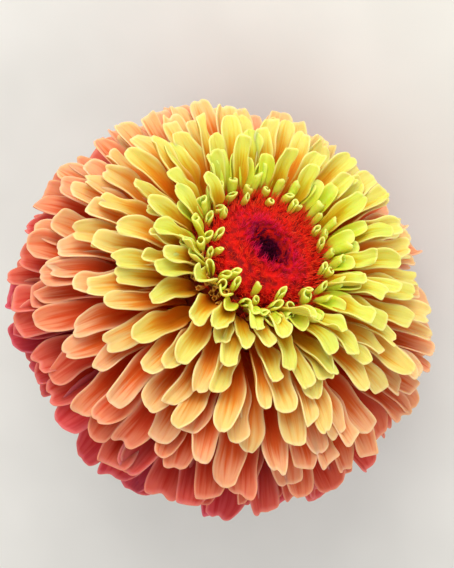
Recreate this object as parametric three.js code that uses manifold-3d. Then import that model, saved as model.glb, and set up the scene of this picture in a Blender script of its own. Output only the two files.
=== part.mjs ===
// A cut zinnia flower lying on its side: a full double bloom on a short piece of its stem.
// Millimetres, +Z up, the floor is z = 0 and the bloom faces -Y.
//
// Every piece is drawn upright first, in the flower's own frame: the flower's axis is +Z and the widest
// ring of petal tips is at z = 0. The group at the end lays the whole flower down.

import * as THREE from "three";
import { mergeVertices } from "three/addons/utils/BufferGeometryUtils.js";
import Module from "manifold-3d";

const wasm = await Module();
wasm.setup();

const DEGREE = Math.PI / 180;
const FULL_TURN = 2 * Math.PI;
const GOLDEN_ANGLE = Math.PI * (3 - Math.sqrt(5));

// ---- Driving dimensions ----

const BLOOM_RADIUS = 37.5; // widest ring of petal tips
const DOME_HEIGHT = 32; // the petal tips follow this dome above the widest ring
const SKIRT_DEPTH = 31; // and this bowl below it
const FIRST_TIP = 28 * DEGREE; // from the axis to the innermost petal's tip
const LAST_TIP = 119 * DEGREE; // and to the outermost petal's tip

const CORE_RADIUS = 12.2; // the receptacle that all the petals grow from
const CORE_BOTTOM_RADIUS = 7.6;
const CORE_TOP = 19.4;
const CORE_BOTTOM = -7.4;
const CORE_WIDENING = 12; // height over which it widens from the bottom
const SEAT_GAP = 0.3; // between two pieces that sit on each other

const STEM_RADIUS = 2.2;
const STEM_TOP_RADIUS = 3.3;
const STEM_TOP = -12.6;
const STEM_END = -67.2;

const LYING_ANGLE = 29.4 * DEGREE; // how far the flower's axis rises above the floor
const HEAD_PLACE = new THREE.Vector3(0.08, -12.59, 34.2); // middle of the widest ring, once laid down

// ---- Small helpers ----

// A seeded draw, the same on every run: each call gives the next number from -1 to 1.
function seededDraw(seed) {
  const FACTOR = 48271;
  const MODULUS = 2147483647;
  let state = seed;
  return () => {
    state = (state * FACTOR) % MODULUS;
    return (2 * state) / MODULUS - 1;
  };
}

const mix = (a, b, share) => a + (b - a) * share;

const smooth = (low, high, value) => THREE.MathUtils.smoothstep(value, low, high);

const counted = (count, make) => Array.from({ length: count }, (_, i) => make(i));

function solidOf(geometry) {
  const bare = geometry.clone();
  bare.deleteAttribute("normal");
  bare.deleteAttribute("uv");
  const merged = mergeVertices(bare, 1e-4);
  return new wasm.Manifold(
    new wasm.Mesh({
      numProp: 3,
      vertProperties: merged.attributes.position.array,
      triVerts: new Uint32Array(merged.index.array),
    }),
  );
}

function geometryOf(solid) {
  const mesh = solid.getMesh();
  const geometry = new THREE.BufferGeometry();
  geometry.setAttribute("position", new THREE.BufferAttribute(mesh.vertProperties, mesh.numProp));
  geometry.setIndex(new THREE.BufferAttribute(mesh.triVerts, 1));
  geometry.computeVertexNormals();
  return geometry;
}

// Joins solids, and keeps the body that they form: a scrap that a cut has loosened is dropped.
function fuse(solids) {
  const bodies = wasm.Manifold.union(solids).decompose();
  return bodies.reduce((largest, body) => (body.volume() > largest.volume() ? body : largest));
}

// A solid of revolution about +Z from a profile of [radius, height] points, from the bottom up.
function turned(profile, sides) {
  const points = profile.map(([radius, height]) => new THREE.Vector2(radius, height));
  return new THREE.LatheGeometry(points, sides).rotateX(Math.PI / 2);
}

// ---- Laying the flower down ----

const laidDown = new THREE.Matrix4()
  .makeRotationX(Math.PI / 2 - LYING_ANGLE)
  .setPosition(HEAD_PLACE);

const heightOverFloor = (point) => point.clone().applyMatrix4(laidDown).z;

// What lies under the floor plane, as a block in the flower's own frame.
function underTheFloor() {
  const SIDE = 300;
  const block = new THREE.BoxGeometry(SIDE, SIDE, SIDE);
  block.translate(0, 0, -SIDE / 2);
  block.applyMatrix4(laidDown.clone().invert());
  return solidOf(block);
}

const floorBlock = underTheFloor();

// ---- Petals ----

// The three colours of petals from the middle outwards. Each grows from its own length of the core, down to
// a seam that turns up at the rim as steeply as the petals beside it. The roots step down that length.
const PETAL_GROUPS = [
  { count: 75, roots: [17.4, 11.1], seam: 8.3, seamRise: 2.2 },
  { count: 95, roots: [8.9, 2.7], seam: 1.1, seamRise: 0.6 },
  { count: 70, roots: [1, -3.6], seam: CORE_BOTTOM, seamRise: 0 },
];
const PETAL_COUNT = PETAL_GROUPS.reduce((sum, group) => sum + group.count, 0);
const ROOT_SINK = 1.25; // how deep a petal's root is sunk in the core
const SEAM_WIDTH = 2.4; // how far in from the core's surface a seam turns up
const CORE_SIDES = 18;

// Each pair goes from the innermost petal to the outermost.
const PETAL_WIDTH = [3.1, 7.4];
const PETAL_ARCH = [0.2, 0.17]; // how far the middle of a petal rises over its chord, as a share of it
const PETAL_CUP = 0.22; // how far the edges rise over the middle, as a share of the width
const PETAL_THICKNESS = 0.7;
const PETAL_MARGIN = 0.15; // room kept between two colours
const TIP_CROWDING = 1.25; // over 1, the tips lie closer together towards the middle
const WIDTH_GROWTH = 1.1; // over 1, the petals stay narrow for longer near the middle

// How far a petal may differ from the rule, either way.
const WANDER = {
  tipAngle: 2.4 * DEGREE,
  reach: 0.035,
  azimuth: 2.5 * DEGREE,
  arch: 0.05,
  width: 0.12,
  cup: 0.07,
  roll: 20 * DEGREE,
  swerve: 2,
};

// The blade along its length, in shares of the length from the root.
const STATIONS = [0, 0.46, 0.87, 1];
const NOSE = 0.03; // how far the middle of the tip stands out past its corners
const CLAW_WIDTH = 0.2; // width at the root, as a share of the full width
const CLAW_END = 0.02;
const BLADE_START = 0.66;
const ROUNDING_START = 0.87;
const ROUNDING_REACH = 0.185;

const coreRadiusAt = (height) =>
  mix(CORE_BOTTOM_RADIUS, CORE_RADIUS, smooth(CORE_BOTTOM, CORE_BOTTOM + CORE_WIDENING, height));

// Petal number i of the spiral, from the middle of the bloom outwards: each one is a golden angle further
// round than the last, and its tip lies a little further down the dome.
function petalRule(i, rootHeight, draw) {
  const out = i / (PETAL_COUNT - 1);
  const tipCosine = mix(Math.cos(FIRST_TIP), Math.cos(LAST_TIP), out ** TIP_CROWDING);
  const tipAngle = Math.acos(tipCosine) + WANDER.tipAngle * draw();
  const reach = 1 + WANDER.reach * draw();
  const depth = tipCosine > 0 ? DOME_HEIGHT : SKIRT_DEPTH;
  return {
    azimuth: i * GOLDEN_ANGLE + WANDER.azimuth * draw(),
    root: [coreRadiusAt(rootHeight) - ROOT_SINK, rootHeight],
    tip: [BLOOM_RADIUS * reach * Math.sin(tipAngle), depth * reach * Math.cos(tipAngle)],
    arch: mix(...PETAL_ARCH, out) + WANDER.arch * draw(),
    width: mix(...PETAL_WIDTH, out ** WIDTH_GROWTH) * (1 + WANDER.width * draw()),
    cup: PETAL_CUP + WANDER.cup * draw(),
    roll: WANDER.roll * draw(),
    swerve: WANDER.swerve * draw(),
  };
}

// Half the blade's width: a narrow claw that flares into a blade with a rounded tip.
function halfWidth(petal, along) {
  const flare = mix(CLAW_WIDTH, 1, smooth(CLAW_END, BLADE_START, along));
  const rounding = Math.sqrt(1 - (Math.max(0, along - ROUNDING_START) / ROUNDING_REACH) ** 2);
  return 0.5 * petal.width * flare * rounding;
}

// A point of the petal. along runs from 0 at the root to 1 at the tip, across from -1 to 1 between the
// edges, and under is the depth below the upper face. The middle of the petal is a quadratic curve over
// the chord from root to tip.
function petalPoint(petal, along, across, under) {
  const [rootR, rootZ] = petal.root;
  const [chordR, chordZ] = [petal.tip[0] - rootR, petal.tip[1] - rootZ];
  const bendR = chordR / 2 - petal.arch * chordZ;
  const bendZ = chordZ / 2 + petal.arch * chordR;
  const pull = 2 * along * (1 - along);
  const radius = rootR + pull * bendR + along * along * chordR;
  const height = rootZ + pull * bendZ + along * along * chordZ;
  const steer = 2 * (1 - 2 * along);
  const heading = new THREE.Vector2(
    steer * bendR + 2 * along * chordR,
    steer * bendZ + 2 * along * chordZ,
  ).normalize();

  const outward = new THREE.Vector3(Math.cos(petal.azimuth), Math.sin(petal.azimuth), 0);
  const sideways = new THREE.Vector3(-outward.y, outward.x, 0);
  const upward = outward.clone().multiplyScalar(-heading.y);
  upward.z = heading.x;
  const tangent = outward.clone().multiplyScalar(heading.x);
  tangent.z = heading.y;

  const centre = outward.clone().multiplyScalar(radius);
  centre.z = height;
  centre.addScaledVector(sideways, petal.swerve * along * along);
  const roll = petal.roll * along;
  sideways.applyAxisAngle(tangent, roll);
  upward.applyAxisAngle(tangent, roll);

  const half = halfWidth(petal, along);
  const rise = 2 * half * petal.cup * across * across - under;
  return centre.addScaledVector(sideways, across * half).addScaledVector(upward, rise);
}

// A closed thin blade. Each station along it has four corners: left edge, middle of the upper face, right
// edge and middle of the lower face. Both faces split their quads along the same diagonals.
function blade(pointAt, thickness) {
  const rings = STATIONS.map((along) => {
    const middle = along === 1 ? 1 + NOSE : along;
    return [
      pointAt(along, -1, 0),
      pointAt(middle, 0, 0),
      pointAt(along, 1, 0),
      pointAt(middle, 0, thickness),
    ];
  });
  const positions = [];
  const triangle = (...corners) => corners.forEach((corner) => positions.push(...corner.toArray()));
  for (let i = 0; i + 1 < rings.length; i++) {
    const [left, top, right, bottom] = rings[i];
    const [nextLeft, nextTop, nextRight, nextBottom] = rings[i + 1];
    triangle(left, nextTop, top);
    triangle(left, nextLeft, nextTop);
    triangle(top, nextTop, right);
    triangle(right, nextTop, nextRight);
    triangle(right, nextBottom, bottom);
    triangle(right, nextRight, nextBottom);
    triangle(bottom, nextBottom, left);
    triangle(left, nextBottom, nextLeft);
  }
  const [rootLeft, rootTop, rootRight, rootBottom] = rings[0];
  const [tipLeft, tipTop, tipRight, tipBottom] = rings[rings.length - 1];
  triangle(rootLeft, rootTop, rootBottom);
  triangle(rootTop, rootRight, rootBottom);
  triangle(tipLeft, tipBottom, tipTop);
  triangle(tipTop, tipBottom, tipRight);
  return new THREE.BufferGeometry().setAttribute(
    "position",
    new THREE.Float32BufferAttribute(positions, 3),
  );
}

const petalBlade = (petal, thickness) =>
  blade((along, across, under) => petalPoint(petal, along, across, under), thickness);

// The petal turned about its root, in the plane of the flower's axis: a positive angle lifts its tip.
function swung(petal, angle) {
  const chord = new THREE.Vector2(petal.tip[0] - petal.root[0], petal.tip[1] - petal.root[1]);
  chord.rotateAround(new THREE.Vector2(), angle);
  return { ...petal, tip: [petal.root[0] + chord.x, petal.root[1] + chord.y] };
}

// A petal that would dip under the floor is swung about its root until it only touches: one that already
// leans back is pushed further back, and the others forward.
function pressedByFloor(petal) {
  const SWING_STEP = 1 * DEGREE;
  const MOST_SWING = 60 * DEGREE;
  const TOUCH = -0.35; // the floor's plane then cuts a small flat spot
  const blunt = [0.84, 1].flatMap((along) => [-1, 0, 1].map((across) => [along, across]));
  const dip = (trial) =>
    Math.min(...blunt.map(([along, across]) => heightOverFloor(petalPoint(trial, along, across, 0))));
  const leansBack = Math.atan2(petal.tip[1] - petal.root[1], petal.tip[0] - petal.root[0]) < -LYING_ANGLE;
  const way = leansBack ? -SWING_STEP : SWING_STEP;
  let pressed = petal;
  for (let swing = way; dip(pressed) < TOUCH && Math.abs(swing) < MOST_SWING; swing += way) {
    pressed = swung(petal, swing);
  }
  return pressed;
}

// A petal next to a seam is swung down until it lies clear of the colour above it.
function bentClear(petal, above) {
  const SWING_STEP = -0.75 * DEGREE;
  const MOST_STEPS = 24;
  const crosses = (trial) =>
    !above.intersect(solidOf(petalBlade(trial, PETAL_THICKNESS + 2 * PETAL_MARGIN))).isEmpty();
  let bent = petal;
  for (let step = 1; step <= MOST_STEPS && crosses(bent); step++) {
    bent = swung(petal, step * SWING_STEP);
  }
  return bent;
}

// The petals of each group, in the order of the spiral.
function petalGroups() {
  const draw = seededDraw(2024);
  let number = 0;
  return PETAL_GROUPS.map(({ count, roots }) =>
    counted(count, (i) => {
      const rootHeight = mix(...roots, i / (count - 1));
      return pressedByFloor(petalRule(number++, rootHeight, draw));
    }));
}

// The profile of a seam from the axis to the core's surface.
function seamProfile(height, rise) {
  const rim = coreRadiusAt(height + rise);
  return [[0, height], [rim - SEAM_WIDTH, height], [rim, height + rise]];
}

// The length of the core that one group of petals grows from.
function coreLength(group) {
  const { seam, seamRise } = PETAL_GROUPS[group];
  const above = PETAL_GROUPS[group - 1];
  const isLowest = group === PETAL_GROUPS.length - 1;
  const bottom = seamProfile(isLowest ? seam : seam + SEAT_GAP / 2, seamRise);
  const top = above ? seamProfile(above.seam - SEAT_GAP / 2, above.seamRise) : seamProfile(CORE_TOP, 0);
  const middle = 0.5 * (bottom[2][1] + top[2][1]);
  return turned([...bottom, [coreRadiusAt(middle), middle], ...top.reverse()], CORE_SIDES);
}

// One colour of the petals with its length of core, clear of the node above it.
function petalNode(group, petals, above) {
  const blades = petals.map((petal) => solidOf(petalBlade(bentClear(petal, above), PETAL_THICKNESS)));
  return fuse([solidOf(coreLength(group)), ...blades]).subtract(floorBlock);
}

// ---- The young florets round the disc ----

const COLLAR_INNER = 10.5;
const COLLAR_OUTER = 11.9;
const COLLAR_BOTTOM = CORE_TOP + SEAT_GAP;
const COLLAR_HEIGHT = 1.4;
const COLLAR_SIDES = 18;
const TUBE_COUNT = 40; // in two rows
const TUBE_SIDES = 5;
const TUBE_RADIUS = 0.75;

// Each pair is for the inner and the outer row of tubes.
const TUBE_LENGTH = [4, 5.6];
const TUBE_LEAN = [9 * DEGREE, 30 * DEGREE];
const TUBE_RING = [11, 11.5];
const TUBE_SINK = 1;

// An open tube with a flared mouth: a ray floret that has not unrolled yet.
function tube(length, radius) {
  const MOUTH_DEPTH = 1.3;
  const foot = 0.4 * radius;
  const mouth = 0.62 * radius;
  const profile = [[0, 0], [foot, 0], [radius, length], [mouth, length + 0.1], [0, length - MOUTH_DEPTH]];
  return turned(profile, TUBE_SIDES);
}

function youngFlorets() {
  const top = COLLAR_BOTTOM + COLLAR_HEIGHT;
  const collar = turned(
    [
      [COLLAR_INNER, COLLAR_BOTTOM],
      [COLLAR_OUTER, COLLAR_BOTTOM],
      [COLLAR_OUTER - 0.4, top],
      [COLLAR_INNER, top],
      [COLLAR_INNER, COLLAR_BOTTOM],
    ],
    COLLAR_SIDES,
  );
  const draw = seededDraw(77);
  const tubes = counted(TUBE_COUNT, (i) => {
    const row = i % 2;
    const length = TUBE_LENGTH[row] + 0.9 * draw();
    const one = tube(length, TUBE_RADIUS + 0.2 * draw());
    one.rotateY(TUBE_LEAN[row] + 6 * DEGREE * draw());
    one.translate(TUBE_RING[row], 0, top - TUBE_SINK);
    one.rotateZ((i + 0.3 * draw()) * (FULL_TURN / TUBE_COUNT));
    return solidOf(one);
  });
  return fuse([solidOf(collar), ...tubes]);
}

// ---- The disc: red fringed scales, and the dark unopened heart ----

const DISC_RADIUS = COLLAR_INNER - SEAT_GAP;
const DISC_BOTTOM = CORE_TOP + SEAT_GAP;
const DISC_TOP = 23.6;
const DISC_SHOULDER = 6.9; // radius where the top of the disc starts to fall away
const SCALE_COUNT = 96;
const SCALE_RADIUS = 0.85;
const SCALE_LENGTH = 3.5;
const SCALE_LEAN = [-24 * DEGREE, 14 * DEGREE]; // outwards, from the heart to the disc's rim
const HEART_RADIUS = 2.9;
const HEART_DEPTH = 1.8; // of the dip in the disc that the heart sits in
const HEART_TIPS = 18;

// A three-sided pointed scale that stands at a place given as [radius, height].
function spike(radius, length, place, azimuth, lean) {
  const SINK = 0.8;
  const one = new THREE.ConeGeometry(radius, length, 3);
  one.rotateX(Math.PI / 2);
  one.translate(0, 0, length / 2 - SINK);
  one.rotateY(lean);
  one.translate(place[0], 0, place[1]);
  one.rotateZ(azimuth);
  return solidOf(one);
}

function discScales() {
  const dip = DISC_TOP - HEART_DEPTH;
  const dome = turned(
    [
      [0, DISC_BOTTOM],
      [DISC_RADIUS, DISC_BOTTOM],
      [DISC_RADIUS, DISC_TOP - 2.4],
      [DISC_SHOULDER, DISC_TOP - 0.4],
      [HEART_RADIUS + 0.8, DISC_TOP],
      [HEART_RADIUS, dip],
      [0, dip],
    ],
    CORE_SIDES,
  );
  const draw = seededDraw(31);
  const scales = counted(SCALE_COUNT, (i) => {
    const spread = Math.sqrt((i + 0.5) / SCALE_COUNT);
    const radius = mix(HEART_RADIUS + 1.1, DISC_RADIUS - 0.9, spread);
    const fall = smooth(HEART_RADIUS, DISC_RADIUS, radius);
    const lean = mix(...SCALE_LEAN, fall) + 9 * DEGREE * draw();
    const length = SCALE_LENGTH + 0.6 * draw();
    return spike(SCALE_RADIUS, length, [radius, DISC_TOP - 2 * fall], i * GOLDEN_ANGLE, lean);
  });
  return fuse([solidOf(dome), ...scales]);
}

function discHeart() {
  const low = DISC_TOP - HEART_DEPTH + SEAT_GAP;
  const radius = HEART_RADIUS - SEAT_GAP;
  const button = turned([[0, low], [radius, low], [0.8 * radius, low + 0.8], [0, low + 0.6]], 12);
  const draw = seededDraw(5);
  const tips = counted(HEART_TIPS, (i) => {
    const at = 0.72 * radius * Math.sqrt((i + 0.5) / HEART_TIPS);
    return spike(0.4, 1.9 + 0.3 * draw(), [at, low + 0.9], i * GOLDEN_ANGLE, -6 * DEGREE);
  });
  return fuse([solidOf(button), ...tips]);
}

// ---- The green parts: the cup of bracts and the stem ----

const CUP_RIM_RADIUS = 9.4;
const CUP_BOTTOM = STEM_TOP + SEAT_GAP;
const CUP_RIM = CORE_BOTTOM + 1.2;
const CUP_SIDES = 16;
const BRACT_THICKNESS = 1;
const BRACT_SINK = 0.5; // how deep a bract lies in the cup's wall

// The rows of bracts from the stem upwards: where each row starts and ends on the cup's wall, as shares of
// the way from the stem to the rim.
const BRACT_ROWS = [
  { count: 6, low: 0.05, high: 0.62, width: 5.4 },
  { count: 8, low: 0.3, high: 0.88, width: 5.4 },
  { count: 10, low: 0.56, high: 1.1, width: 5.2 },
];

// The outside of the cup: share 0 is at the stem and 1 at the rim.
function cupAt(share) {
  const swell = Math.sin(Math.min(1, share) * 90 * DEGREE) ** 0.8;
  return [mix(STEM_TOP_RADIUS, CUP_RIM_RADIUS, swell), mix(CUP_BOTTOM, CUP_RIM, share ** 1.4)];
}

function bractShape(row, azimuth) {
  const [low, high] = [cupAt(row.low), cupAt(row.high)];
  return {
    azimuth,
    root: [low[0] - BRACT_SINK, low[1] + BRACT_SINK],
    tip: [high[0] + 0.9, high[1] - 0.1],
    arch: -0.16,
    width: row.width,
    cup: -0.1,
    roll: 0,
    swerve: 0,
  };
}

function bractCup() {
  const wall = [0, 0.25, 0.5, 0.75, 1].map(cupAt);
  const floor = CORE_BOTTOM - SEAT_GAP;
  const inner = coreRadiusAt(CUP_RIM) + 2 * SEAT_GAP;
  const cup = turned([[0, CUP_BOTTOM], ...wall, [inner, CUP_RIM], [inner, floor], [0, floor]], CUP_SIDES);
  const draw = seededDraw(12);
  const bracts = BRACT_ROWS.flatMap((row, r) =>
    counted(row.count, (i) => {
      const bract = bractShape(row, ((i + 0.5 * (r % 2) + 0.06 * draw()) * FULL_TURN) / row.count);
      const pointAt = (along, across, under) => petalPoint(bract, along, across, under - BRACT_SINK);
      return solidOf(blade(pointAt, BRACT_THICKNESS));
    }));
  return fuse([solidOf(cup), ...bracts]);
}

// The stem widens towards the bloom, bows a little to one side and ends in a slanting cut with open pith.
function stem() {
  const PITH_RADIUS = 0.8;
  const PITH_DEPTH = 2;
  const BOW = 1.6;
  const CUT_SLANT = 0.35;
  const SIDES = 12;
  const profile = [
    [0, STEM_END + PITH_DEPTH],
    [PITH_RADIUS, STEM_END + PITH_DEPTH],
    [PITH_RADIUS, STEM_END],
    [STEM_RADIUS, STEM_END],
  ];
  for (const share of [0.2, 0.4, 0.6, 0.8, 0.92]) {
    const radius = mix(STEM_RADIUS, 0.8 * STEM_TOP_RADIUS, share ** 2);
    profile.push([radius, mix(STEM_END, STEM_TOP, share)]);
  }
  profile.push([STEM_TOP_RADIUS, STEM_TOP], [0, STEM_TOP]);
  const geometry = turned(profile, SIDES);
  const position = geometry.attributes.position;
  for (let i = 0; i < position.count; i++) {
    const share = (position.getZ(i) - STEM_END) / (STEM_TOP - STEM_END);
    const slant = CUT_SLANT * position.getX(i) * (1 - smooth(0, 0.1, share));
    position.setZ(i, position.getZ(i) + slant);
    position.setX(i, position.getX(i) + BOW * Math.sin(Math.PI * share));
  }
  return solidOf(geometry).subtract(floorBlock);
}

// ---- Assembly ----

const flower = new THREE.Group();
flower.rotation.x = Math.PI / 2 - LYING_ANGLE;
flower.position.copy(HEAD_PLACE);

function place(name, solid, colour, roughness) {
  const material = new THREE.MeshStandardMaterial({ color: colour, roughness, metalness: 0 });
  const mesh = new THREE.Mesh(geometryOf(solid), material);
  mesh.name = name;
  flower.add(mesh);
}

const [yellowPetals, orangePetals, coralPetals] = petalGroups();
const florets = youngFlorets();
const yellow = petalNode(0, yellowPetals, florets);
const orange = petalNode(1, orangePetals, yellow);
const coral = petalNode(2, coralPetals, orange);

place("stem", stem(), 0x5d7d3a, 0.6);
place("bract_cup", bractCup(), 0x4f6f2c, 0.65);
place("petals_coral", coral, 0xd4565a, 0.6);
place("petals_orange", orange, 0xf0955a, 0.6);
place("petals_yellow", yellow, 0xe8d860, 0.6);
place("florets_lime", florets, 0xc6d930, 0.55);
place("disc_scales", discScales(), 0xc8261c, 0.7);
place("disc_heart", discHeart(), 0x4a0a26, 0.7);

export default flower;
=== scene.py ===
import math

import bmesh
import bpy
from mathutils import Matrix, Quaternion, Vector


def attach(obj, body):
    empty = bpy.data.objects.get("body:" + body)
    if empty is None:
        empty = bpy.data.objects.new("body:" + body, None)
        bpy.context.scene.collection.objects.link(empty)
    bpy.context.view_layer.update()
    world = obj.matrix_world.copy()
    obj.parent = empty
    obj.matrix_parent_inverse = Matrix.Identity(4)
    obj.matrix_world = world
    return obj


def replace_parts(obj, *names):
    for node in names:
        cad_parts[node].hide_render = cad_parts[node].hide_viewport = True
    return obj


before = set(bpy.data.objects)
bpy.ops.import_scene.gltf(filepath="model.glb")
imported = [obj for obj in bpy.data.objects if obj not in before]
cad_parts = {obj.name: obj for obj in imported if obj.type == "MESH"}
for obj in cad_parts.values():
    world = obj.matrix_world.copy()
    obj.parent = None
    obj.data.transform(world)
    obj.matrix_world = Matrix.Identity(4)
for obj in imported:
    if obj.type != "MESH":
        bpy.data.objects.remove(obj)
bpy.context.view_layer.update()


# ---- Stem ----
# A short cut piece of the flower's own stem: green, ribbed, stiffly hairy and a little bowed. Its pith
# shows pale in the slanting cut, and its upper end carries the cup of bracts.

# The whole flower is drawn upright, in millimetres, with its axis along +Z and the widest ring of petal
# tips at z = 0, and every finished piece is then laid down by this one placing.
MM = 0.001
LYING_ANGLE = math.radians(29.4)
HEAD_PLACE = Vector((0.08, -12.59, 34.2)) * MM
LAID_DOWN = (
    Matrix.Translation(HEAD_PLACE)
    @ Matrix.Rotation(math.radians(90) - LYING_ANGLE, 4, "X")
    @ Matrix.Scale(MM, 4)
)
GOLDEN_ANGLE = math.pi * (3 - math.sqrt(5))

STEM_RADIUS = 2.2
STEM_TOP_RADIUS = 3.3
STEM_TAPER = 0.8  # share of the top radius that the shaft has below its flare
STEM_FLARE = 0.9  # share of the length where the flare into the cup begins
STEM_TOP = -12.6
STEM_END = -67.2
STEM_BOW = 1.6
CUT_SLANT = 0.35
CUT_REACH = 5
PITH_RADIUS = 0.85
PITH_DEPTH = 1.6
PITH_LIP = 0.06
STEM_RIBS = 9
RIB_HEIGHT = 0.035  # share of the radius
STEM_SIDES = 54
STEM_RINGS = 46
HAIR_SEED = 404
HAIR_COUNT = 620
HAIR_LENGTH = 0.9
HAIR_RADIUS = 0.045
HAIR_LEAN = 68  # degrees from the stem
HAIR_ROOM = 1.2  # hair lengths over the floor, below which the stem is bare

STEM_GREEN = (104, 138, 62)
STEM_DARK = (66, 98, 40)
STEM_BLUSH = (128, 92, 66)
PITH_PALE = (206, 212, 160)
HAIR_PALE = (196, 208, 160)


def mix(a, b, share):
    return a + (b - a) * share


def smooth(low, high, value):
    share = min(1.0, max(0.0, (value - low) / (high - low)))
    return share * share * (3 - 2 * share)


def seeded_draw(seed):
    """A draw that is the same on every run: each call gives the next number from -1 to 1."""
    factor, modulus = 48271, 2147483647
    state = seed

    def draw():
        nonlocal state
        state = state * factor % modulus
        return 2 * state / modulus - 1

    return draw


def paint(red, green, blue):
    """A display colour of 0 to 255 as the linear colour that a shader takes."""
    def linear(part):
        part /= 255
        return part / 12.92 if part <= 0.04045 else ((part + 0.055) / 1.055) ** 2.4

    return (linear(red), linear(green), linear(blue), 1.0)


def set_stops(ends, stops):
    while len(ends) < len(stops):
        ends.new(0.5)
    for end, (place, colour) in zip(ends, stops):
        end.position = place
        end.color = paint(*colour)


class Field:
    """A value that varies over a surface: one output socket, with arithmetic."""

    def __init__(self, finish, socket):
        self.finish = finish
        self.socket = socket

    def maths(self, operation, *others, clamp=False):
        settings = {"operation": operation, "use_clamp": clamp}
        return self.finish.node("ShaderNodeMath", settings, dict(enumerate((self, *others))))

    def __add__(self, other):
        return self.maths("ADD", other)

    __radd__ = __add__

    def __sub__(self, other):
        return self.maths("SUBTRACT", other)

    def __rsub__(self, other):
        return self.finish.node("ShaderNodeMath", {"operation": "SUBTRACT"}, {0: other, 1: self})

    def __mul__(self, other):
        return self.maths("MULTIPLY", other)

    __rmul__ = __mul__

    def __pow__(self, other):
        return self.maths("POWER", other)

    def sine(self):
        return self.maths("SINE")

    def size(self):
        return self.maths("ABSOLUTE")

    def largest(self, other):
        return self.maths("MAXIMUM", other)

    def clipped(self):
        return self.maths("ADD", 0, clamp=True)

    def smooth(self, low, high):
        settings = {"interpolation_type": "SMOOTHSTEP"}
        return self.finish.node("ShaderNodeMapRange", settings, {0: self, 1: low, 2: high})


class Finish:
    """A material with one Principled shader, and short ways to feed it."""

    def __init__(self, name, **constants):
        self.material = bpy.data.materials.new(name)
        self.material.use_nodes = True
        self.tree = self.material.node_tree
        self.shader = self.tree.nodes["Principled BSDF"]
        for socket, value in constants.items():
            self.shader.inputs[socket.replace("_", " ")].default_value = value

    def node(self, kind, settings=None, values=None, output=0):
        """Adds a node. Its settings, such as an operation or a ramp's stops, come before its sockets."""
        made = self.tree.nodes.new(kind)
        for name, value in (settings or {}).items():
            if name == "stops":
                set_stops(made.color_ramp.elements, value)
            else:
                setattr(made, name, value)
        for socket, value in (values or {}).items():
            self.feed(made.inputs[socket], value)
        return Field(self, made.outputs[output])

    def feed(self, socket, value):
        if isinstance(value, Field):
            self.tree.links.new(value.socket, socket)
        else:
            socket.default_value = paint(*value) if socket.type == "RGBA" else value

    def shade(self, socket, value):
        self.feed(self.shader.inputs[socket], value)

    def attribute(self, name):
        return self.node("ShaderNodeAttribute", {"attribute_name": name}, output="Fac")

    def position(self):
        return self.node("ShaderNodeTexCoord", output="Object")

    def parts(self, vector):
        split = self.node("ShaderNodeSeparateXYZ", values={0: vector}).socket.node
        return [Field(self, socket) for socket in split.outputs]

    def joined(self, x, y, z):
        return self.node("ShaderNodeCombineXYZ", values={0: x, 1: y, 2: z})

    def noise(self, vector, scale, detail=2):
        values = {"Vector": vector, "Scale": scale, "Detail": detail}
        return self.node("ShaderNodeTexNoise", values=values)

    def mottle(self, scale, detail=2):
        return self.noise(self.position(), scale, detail).smooth(0.3, 0.7)

    def blend(self, first, second, share, blend_type="MIX"):
        settings = {"data_type": "RGBA", "blend_type": blend_type}
        return self.node("ShaderNodeMix", settings, {0: share, 6: first, 7: second}, output=2)

    def ramp(self, share, stops):
        return self.node("ShaderNodeValToRGB", {"stops": stops}, {0: share})

    def bump(self, height, strength, distance):
        values = {"Height": height, "Strength": strength, "Distance": distance}
        self.shade("Normal", self.node("ShaderNodeBump", values=values))


def kept_over_floor(point, least=0.0):
    """A drawn point, lifted to the least height over the floor if it would lie lower."""
    laid = LAID_DOWN @ point
    laid.z = max(laid.z, least * MM)
    return LAID_DOWN.inverted() @ laid


def mesh_of(bm, name):
    mesh = bpy.data.meshes.new(name)
    bm.to_mesh(mesh)
    bm.free()
    return mesh


def in_scene(name, data):
    """A new object of the scene, at the origin."""
    made = bpy.data.objects.new(name, data)
    bpy.context.scene.collection.objects.link(made)
    return made


def object_of(bm, name, slot, *finishes):
    """Lays the drawn mesh down as a smooth-shaded piece that rides on the flower."""
    bm.transform(LAID_DOWN)
    mesh = mesh_of(bm, name)
    for finish in finishes:
        mesh.materials.append(finish.material)
    for face in mesh.polygons:
        face.use_smooth = True
    piece = in_scene(name, mesh)
    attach(piece, "root")
    return piece


def stem_centre(height):
    share = (height - STEM_END) / (STEM_TOP - STEM_END)
    return STEM_BOW * math.sin(math.pi * share)


def stem_radius(height):
    share = (height - STEM_END) / (STEM_TOP - STEM_END)
    body = mix(STEM_RADIUS, STEM_TAPER * STEM_TOP_RADIUS, min(share, 0.92) ** 2)
    return mix(body, STEM_TOP_RADIUS, smooth(STEM_FLARE, 1, share))


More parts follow.
